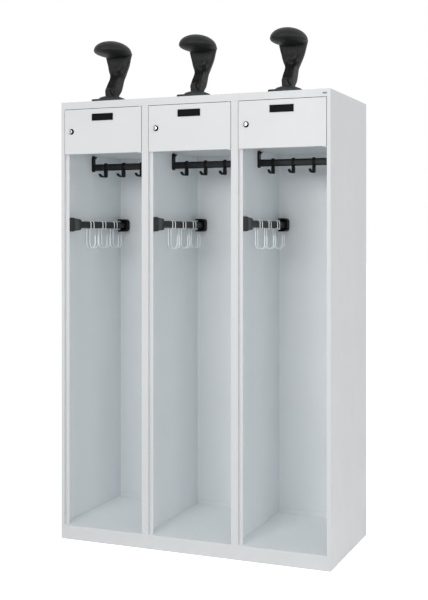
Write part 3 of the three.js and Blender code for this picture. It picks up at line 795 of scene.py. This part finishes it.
def side_line(z, reach):
    """Rest of the section, from the front right corner round the rear."""
    middle, half_x, half_y, taper = (smooth_between(NECK, z, k) for k in NECK_COLUMNS)
    front = plain_front(reach, z)
    start = -math.asin(min((middle - front) / half_y, 1) ** (SQUARENESS / 2))
    seam = sum(bell(z - level, SEAM_HALF_WIDE) for level in SEAM_HEIGHTS)
    line = []
    for i in range(SIDE_STEPS + 1):
        turn = start + (math.pi - 2 * start) * i / SIDE_STEPS
        c, s = math.cos(turn), math.sin(turn)
        back = math.copysign(abs(s) ** (2 / SQUARENESS), s)
        inset = SEAM_DEPTH * seam * step_up(s, *SEAM_SIDES)
        side = math.copysign(abs(c) ** (2 / SQUARENESS), c)
        line.append((side * (half_x - inset) * (1 - taper * back), middle + back * (half_y - inset)))
    return line


def spaced(line, count):
    """Points at equal steps along a line, without its last end."""
    lengths = [0.0]
    for (x0, y0), (x1, y1) in zip(line, line[1:]):
        lengths.append(lengths[-1] + math.hypot(x1 - x0, y1 - y0))
    points, j = [], 0
    for i in range(count):
        want = lengths[-1] * i / count
        while lengths[j + 1] < want:
            j += 1
        share = (want - lengths[j]) / (lengths[j + 1] - lengths[j])
        points.append(tuple(a + (b - a) * share for a, b in zip(line[j], line[j + 1])))
    return points


def tube_of_rows(shape, sides, count):
    """Closed tube as rows of vertices sorted by direction, all of them still on one circle."""
    ring = bmesh.ops.create_circle(shape, cap_ends=True, segments=sides, radius=1)["verts"]
    edges = list({edge for vert in ring for edge in vert.link_edges})
    rows = [ring]
    for _ in range(count):
        made = bmesh.ops.extrude_edge_only(shape, edges=edges)["geom"]
        rows.append([item for item in made if isinstance(item, bmesh.types.BMVert)])
        edges = [item for item in made if isinstance(item, bmesh.types.BMEdge)]
    bmesh.ops.contextual_create(shape, geom=edges)
    for row in rows:
        row.sort(key=lambda vert: math.atan2(vert.co.y, vert.co.x))
    return rows


def in_painted_shade(place):
    """True for a place in the channel on the side painted in shade."""
    x, y, z = place
    inside = SHADE_LEFT < x < SHADE_RIGHT and SHADE_LOW < z < SHADE_HIGH
    return inside and y - plain_front(x, z) > SHADE_DEPTH


def holder_neck(number):
    """Neck of the holder: channelled in front, with a pad over the channel and a seamed shoulder."""
    shape = bmesh.new()
    rows = tube_of_rows(shape, NECK_POINTS_IN_FRONT + NECK_POINTS_BEHIND, NECK_ROWS)
    foot, crown = NECK[0][0], NECK[-1][0]
    for i, row in enumerate(rows):
        z = foot + (crown - foot) * i / NECK_ROWS
        reach = min(FRONT_SHARE * smooth_between(NECK, z, HALF_WIDTH_COLUMN), FRONT_REACH)
        section = spaced(front_line(z, reach), NECK_POINTS_IN_FRONT)
        section += spaced(side_line(z, reach), NECK_POINTS_BEHIND)
        for vert, (x, y) in zip(row, section):
            vert.co = Vector((bay_x(number, HOLDER_X + x), front_y(y), TOP + z * MM))
    bmesh.ops.smooth_vert(
        shape,
        verts=shape.verts,
        factor=NECK_SMOOTHING,
        use_axis_x=True,
        use_axis_y=True,
        use_axis_z=False,
    )
    bmesh.ops.recalc_face_normals(shape, faces=shape.faces)
    origin = Vector((bay_x(number, HOLDER_X), front_y(0), TOP))
    # Faces on the shaded side of the channel take the darker hook plastic: painted shade.
    for face in shape.faces:
        face.material_index = int(in_painted_shade((face.calc_center_median() - origin) / MM))
    neck = finished(f"holder_neck_{number}", shape, BLACK)
    neck.data.materials.append(HOOK)
    return neck


# Foot of a holder: its plate with rounded corners and rim.
FOOT_WIDE, FOOT_DEEP, FOOT_THICK = 136, 150, 11
FOOT_Y = 89
FOOT_CORNER, FOOT_CORNER_SEGMENTS = 22, 12
FOOT_RIM, FOOT_RIM_SEGMENTS = 2.5, 5
FOOT_RIM_ANGLE = 0.5

# Boss round the neck's foot: distance from its middle to the side, and height.
BOSS_OUTLINE = [
    (54, 6), (53.8, 11), (53.2, 14), (52, 16.5), (50, 18.8), (47, 20.6), (42, 22.4),
    (34, 25.6), (26, 28.6), (22, 30), (12, 30), (0, 30),
]
BOSS_Y = 86
BOSS_HALF_DEEP = 70
BOSS_SIDES = 72
SAME_POINT = 0.01

SCREWS_X = (-55, 55)
SCREWS_Y = (29, 149)
SCREW_RADIUS = 4.5
SCREW_FLATTENING = 0.4
SCREW_SIDES, SCREW_RINGS = 20, 10


def foot_plate(shape, number):
    """Plate with rounded corners and a rounded upper rim."""
    half_thick = FOOT_THICK / 2 * MM
    sizes = (FOOT_WIDE * MM, FOOT_DEEP * MM, FOOT_THICK * MM)
    block(shape, sizes, (bay_x(number, HOLDER_X), front_y(FOOT_Y), TOP + half_thick))
    upright = []
    for edge in shape.edges:
        low, high = sorted(vert.co.z for vert in edge.verts)
        if high - low > half_thick:
            upright.append(edge)
    rounded(shape, upright, FOOT_CORNER, FOOT_CORNER_SEGMENTS)
    upper = [edge for edge in shape.edges if min(vert.co.z for vert in edge.verts) > TOP + half_thick]
    rim = [edge for edge in upper if edge.calc_face_angle(0) > FOOT_RIM_ANGLE]
    rounded(shape, rim, FOOT_RIM, FOOT_RIM_SEGMENTS)


def foot_boss(shape, number):
    """Domed boss, turned about its middle and drawn out to the front and rear."""
    points = [shape.verts.new((radius * MM, 0, z * MM)) for radius, z in BOSS_OUTLINE]
    chain = [shape.edges.new(pair) for pair in zip(points, points[1:])]
    bmesh.ops.spin(
        shape,
        geom=points + chain,
        axis=(0, 0, 1),
        cent=(0, 0, 0),
        angle=2 * math.pi,
        steps=BOSS_SIDES,
        use_merge=True,
    )
    boss = [vert for vert in shape.verts if vert.co.z < TOP / 2]
    bmesh.ops.remove_doubles(shape, verts=boss, dist=SAME_POINT * MM)
    boss = [vert for vert in shape.verts if vert.co.z < TOP / 2]
    bmesh.ops.scale(shape, vec=(1, BOSS_HALF_DEEP / BOSS_OUTLINE[0][0], 1), verts=boss)
    bmesh.ops.translate(shape, vec=(bay_x(number, HOLDER_X), front_y(BOSS_Y), TOP), verts=boss)


def holder_base(number):
    """Base plate with a domed boss round the foot of the neck."""
    shape = bmesh.new()
    foot_plate(shape, number)
    foot_boss(shape, number)
    bmesh.ops.recalc_face_normals(shape, faces=shape.faces)
    base = finished(f"holder_base_{number}", shape, BASE)
    base.data.set_sharp_from_angle(angle=SHARP_ANGLE)
    return base


def holder_screws(number):
    """Domed heads of the four screws that hold the base plate to the top panel."""
    shape = bmesh.new()
    for x in SCREWS_X:
        for y in SCREWS_Y:
            place = (bay_x(number, HOLDER_X + x), front_y(y), TOP + FOOT_THICK * MM)
            head = bmesh.ops.create_uvsphere(
                shape,
                u_segments=SCREW_SIDES,
                v_segments=SCREW_RINGS,
                radius=SCREW_RADIUS * MM,
            )["verts"]
            bmesh.ops.scale(shape, vec=(1, 1, SCREW_FLATTENING), verts=head)
            bmesh.ops.translate(shape, vec=place, verts=head)
    return finished(f"holder_screws_{number}", shape, SCREW)


# Head cap: half sizes, place and heights of its flattened dome.
HEAD_HALF_WIDE = 72
HEAD_HALF_DEEP = 99.4
HEAD_Y = 89.6
HEAD_GIRTH = 216
HEAD_ABOVE = 46
HEAD_BELOW = 21
HEAD_SIDES, HEAD_RINGS = 176, 120

# Lines round the head cap: level and half width as shares of its height, and their depth.
# The upper one is deeper on the right, and the lower one lies on the right alone.
PART_LINE_LEVEL, PART_LINE_HALF_WIDE = -0.2, 0.05
PART_LINE_DEPTH, PART_LINE_MORE = 0.9, 1.6
LIP_LINE_LEVEL, LIP_LINE_HALF_WIDE = -0.5, 0.07
LIP_LINE_DEPTH = 2.5
DEEPER_ASIDE = (0.05, 0.3)

# Slot in the crown.
SLOT_X, SLOT_Y = 4, 132
SLOT_HALF_LONG = 13
SLOT_WALL = (3.2, 6.2)
SLOT_DEPTH = 3.5


def head_line(side, up):
    """Depth of the two lines at a direction from the middle of the head cap."""
    more = step_up(side, *DEEPER_ASIDE)
    part = bell(up - PART_LINE_LEVEL, PART_LINE_HALF_WIDE) * (PART_LINE_DEPTH + PART_LINE_MORE * more)
    return part + LIP_LINE_DEPTH * more * bell(up - LIP_LINE_LEVEL, LIP_LINE_HALF_WIDE)


def crown_slot(x, y):
    """Depth of the slot in the crown."""
    beyond = max(abs(x - SLOT_X) - SLOT_HALF_LONG, 0)
    return SLOT_DEPTH * (1 - step_up(math.hypot(beyond, y - SLOT_Y), *SLOT_WALL))


def holder_head(number):
    """Head cap: flattened dome over the front, with a part line, a lower lip and a slot."""
    shape = bmesh.new()
    bmesh.ops.create_uvsphere(shape, u_segments=HEAD_SIDES, v_segments=HEAD_RINGS, radius=1)
    for vert in shape.verts:
        side, back, up = vert.co
        line = head_line(side, up)
        x = side * (HEAD_HALF_WIDE - line)
        y = HEAD_Y + back * (HEAD_HALF_DEEP - line)
        z = HEAD_GIRTH + up * (HEAD_ABOVE if up > 0 else HEAD_BELOW)
        if up > 0:
            z -= crown_slot(x, y)
        vert.co = Vector((bay_x(number, HOLDER_X + x), front_y(y), TOP + z * MM))
    bmesh.ops.recalc_face_normals(shape, faces=shape.faces)
    return finished(f"holder_head_{number}", shape, BLACK)


def helmet_holders():
    for number in BAYS:
        neck = holder_neck(number)
        base = holder_base(number)
        head = holder_head(number)
        for piece in (neck, base, head):
            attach(piece, "carcass")
        screws = holder_screws(number)
        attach(screws, "carcass")
        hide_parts(f"helmet_stand_{number}")
        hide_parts(f"helmet_head_{number}")


# Lock faces

LOCK_X = from_left("lock_housing_1")
LOCK_Z = centre("lock_housing_1", Z)

# Width, height and thickness of the round face and the long key slot, and their places.
LOCK_FACE_SIZES, LOCK_FACE_Y = (14.8, 14.8, 1.2), -8.25
KEY_SLOT_SIZES, KEY_SLOT_Y = (4.4, 9.4, 0.4), -8.75
LOCK_SIDES = 64
LOCK_EDGE, LOCK_EDGE_SEGMENTS = 0.15, 3
DISC_RIM_ANGLE = 1


def oval_disc(name, number, sizes, y, finish):
    """Flat oval disc on the axis of a lock, facing the front."""
    shape = bmesh.new()
    bmesh.ops.create_cone(
        shape,
        cap_ends=True,
        segments=LOCK_SIDES,
        radius1=0.5,
        radius2=0.5,
        depth=1,
    )
    bmesh.ops.scale(shape, vec=[size * MM for size in sizes], verts=shape.verts)
    upright = Matrix.Rotation(math.pi / 2, 3, "X")
    bmesh.ops.rotate(shape, cent=(0, 0, 0), matrix=upright, verts=shape.verts)
    rims = [edge for edge in shape.edges if edge.calc_face_angle(0) > DISC_RIM_ANGLE]
    rounded(shape, rims, LOCK_EDGE, LOCK_EDGE_SEGMENTS)
    place = (bay_x(number, LOCK_X), front_y(y), LOCK_Z)
    bmesh.ops.translate(shape, vec=place, verts=shape.verts)
    disc = finished(f"{name}_{number}", shape, finish)
    disc.data.set_sharp_from_angle(angle=SHARP_ANGLE)
    return disc


def lock_faces():
    """Chromed face on the front of each lock plug, with a dark disc on it: painted shade of the key
    slot.
    """
    for number in BAYS:
        plug = f"lock_plug_{number}"
        face = oval_disc("lock_face", number, LOCK_FACE_SIZES, LOCK_FACE_Y, CHROME)
        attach(face, plug)
        # A flat dark disc stands in for the key slot: painted shade.
        key_slot_shade = oval_disc("key_slot_shade", number, KEY_SLOT_SIZES, KEY_SLOT_Y, CARD)
        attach(key_slot_shade, plug)


# Dark strips in the gaps of the doors: painted shade

GAP_SHADE_EDGE, GAP_SHADE_EDGE_SEGMENTS = 0.12, 2

# Ranges of the shade strips: from the left edge of a bay, from the front face and from the floor.
# The two strips under the header leave room for the hinge pin.
SIDE_ACROSS, SIDE_BACK, SIDE_UP = (383.02, 383.9), (0.2, 13), (1633, 1817.5)
HEADER_BACK, HEADER_UP = (0.3, 13), (1818.7, 1819.98)
HEADER_ACROSS = {"a": (19, 366), "b": (380, 384)}


def gap_shade_strip(name, number, across, back, up):
    """Thin dark strip of painted shade that fills its ranges in a bay."""
    low, high = [(bay_x(number, x), front_y(y), z * MM) for x, y, z in zip(across, back, up)]
    sizes = [b - a for a, b in zip(low, high)]
    middle = [(a + b) / 2 for a, b in zip(low, high)]
    shape = bmesh.new()
    block(shape, sizes, middle)
    rounded(shape, shape.edges[:], GAP_SHADE_EDGE, GAP_SHADE_EDGE_SEGMENTS)
    return finished(name, shape, GAP_SHADE, smooth=False)


def gap_shade_strips():
    """Dark strips of painted shade down the hinge side of each door and under the header over it."""
    for number in BAYS:
        strip = gap_shade_strip(f"door_gap_shade_{number}", number, SIDE_ACROSS, SIDE_BACK, SIDE_UP)
        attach(strip, f"door_{number}")
        for end, across in HEADER_ACROSS.items():
            name = f"header_gap_shade_{number}{end}"
            strip = gap_shade_strip(name, number, across, HEADER_BACK, HEADER_UP)
            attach(strip, "carcass")


# Bare plate on the header: its middle from the left edge of the locker, its height and sizes.
PLATE_X, PLATE_Z = 1177, 1834
PLATE_WIDE, PLATE_PROUD, PLATE_TALL = 17, 0.8, 6
PLATE_EDGE, PLATE_EDGE_SEGMENTS = 0.3, 2


def blank_plate():
    """Bare rounded plate at the right end of the header."""
    shape = bmesh.new()
    sizes = (PLATE_WIDE * MM, PLATE_PROUD * MM, PLATE_TALL * MM)
    block(shape, sizes, (bay_x(1, PLATE_X), front_y(-PLATE_PROUD / 2), PLATE_Z * MM))
    rounded(shape, shape.edges[:], PLATE_EDGE, PLATE_EDGE_SEGMENTS)
    plate = finished("blank_plate", shape, PLATE, smooth=False)
    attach(plate, "carcass")


# Floor, light and camera, in metres

FLOOR_HALF = 40
FLOOR_COLOUR = (0.88, 0.88, 0.88, 1)
FLOOR_ROUGHNESS = 0.9
FLOOR_GLOW = 0.8
WHITE = (1, 1, 1, 1)
WORLD_LIGHT = 0.345
WORLD_SEEN = 1.0

# Name, place, point aimed at, size and power in watts.
LAMPS = [
    ("fill softbox", (8.0, -8.5, 1.6), (0, 0, 1.0), (5.5, 3.3), 288),
    ("overhead softbox", (1.0, -3.6, 5.5), (0, 0, 0.2), (3.0, 2.0), 27),
    ("key softbox", (-0.6, -6.5, 2.8), (0, 0, 0.8), (3.0, 1.6), 146),
    ("side softbox", (6.6, -0.5, 3.4), (0, 0, 1.5), (4.0, 2.6), 96),
]

CAMERA_PLACE = (1.762, -3.8565, 1.289)
CAMERA_TURN = math.radians(20.61)
CAMERA_SENSOR = 36
CAMERA_LENS = 59.478
CAMERA_SHIFT = (-0.11417, -0.1085)
CAMERA_FAR = 100


def pale_ground(name):
    """Pale matt ground that shows white to the camera and still takes a shadow."""
    finish, nodes, links, shader = new_finish(name)
    shader.inputs["Base Color"].default_value = FLOOR_COLOUR
    shader.inputs["Roughness"].default_value = FLOOR_ROUGHNESS
    path = nodes.new("ShaderNodeLightPath")
    seen = nodes.new("ShaderNodeMath")
    seen.operation = "ADD"
    seen.use_clamp = True
    links.new(path.outputs["Is Camera Ray"], seen.inputs[0])
    links.new(path.outputs["Is Glossy Ray"], seen.inputs[1])
    glow = nodes.new("ShaderNodeMath")
    glow.operation = "MULTIPLY"
    glow.inputs[1].default_value = FLOOR_GLOW
    links.new(seen.outputs["Value"], glow.inputs[0])
    shader.inputs["Emission Color"].default_value = WHITE
    links.new(glow.outputs["Value"], shader.inputs["Emission Strength"])
    return finish


def floor():
    shape = bmesh.new()
    bmesh.ops.create_grid(shape, x_segments=1, y_segments=1, size=FLOOR_HALF)
    finished("floor", shape, pale_ground("pale floor"), smooth=False)


def world_light():
    """White world, dimmer for what it lights than where the camera or a gloss sees it."""
    world = bpy.data.worlds.new("studio")
    bpy.context.scene.world = world
    world.use_nodes = True
    nodes, links = world.node_tree.nodes, world.node_tree.links
    backdrop = nodes["Background"]
    backdrop.inputs["Color"].default_value = WHITE
    path = nodes.new("ShaderNodeLightPath")
    seen = nodes.new("ShaderNodeMath")
    seen.operation = "MAXIMUM"
    links.new(path.outputs["Is Camera Ray"], seen.inputs[0])
    links.new(path.outputs["Is Glossy Ray"], seen.inputs[1])
    level = ramp(nodes, links, seen.outputs["Value"], 0, 1, WORLD_LIGHT, WORLD_SEEN)
    links.new(level, backdrop.inputs["Strength"])


def soft_lamp(name, place, aim, size, power):
    lamp = bpy.data.lights.new(name, "AREA")
    lamp.shape = "RECTANGLE"
    lamp.size, lamp.size_y = size
    lamp.energy = power
    holder = bpy.data.objects.new(name, lamp)
    holder.location = place
    holder.rotation_euler = (Vector(aim) - Vector(place)).to_track_quat("-Z", "Y").to_euler()
    bpy.context.scene.collection.objects.link(holder)


def camera():
    lens = bpy.data.cameras.new("camera")
    lens.sensor_width = CAMERA_SENSOR
    lens.lens = CAMERA_LENS
    lens.shift_x, lens.shift_y = CAMERA_SHIFT
    lens.clip_end = CAMERA_FAR
    holder = bpy.data.objects.new("camera", lens)
    holder.location = CAMERA_PLACE
    holder.rotation_euler = (math.pi / 2, 0, CAMERA_TURN)
    bpy.context.scene.collection.objects.link(holder)
    bpy.context.scene.camera = holder


def studio():
    floor()
    world_light()
    for lamp in LAMPS:
        soft_lamp(*lamp)
    camera()
    bpy.context.scene.view_settings.view_transform = "Standard"


dress_carcass()
dress_doors()
dress_rails()
wire_hangers()
coat_hooks()
helmet_holders()
lock_faces()
gap_shade_strips()
blank_plate()
studio()
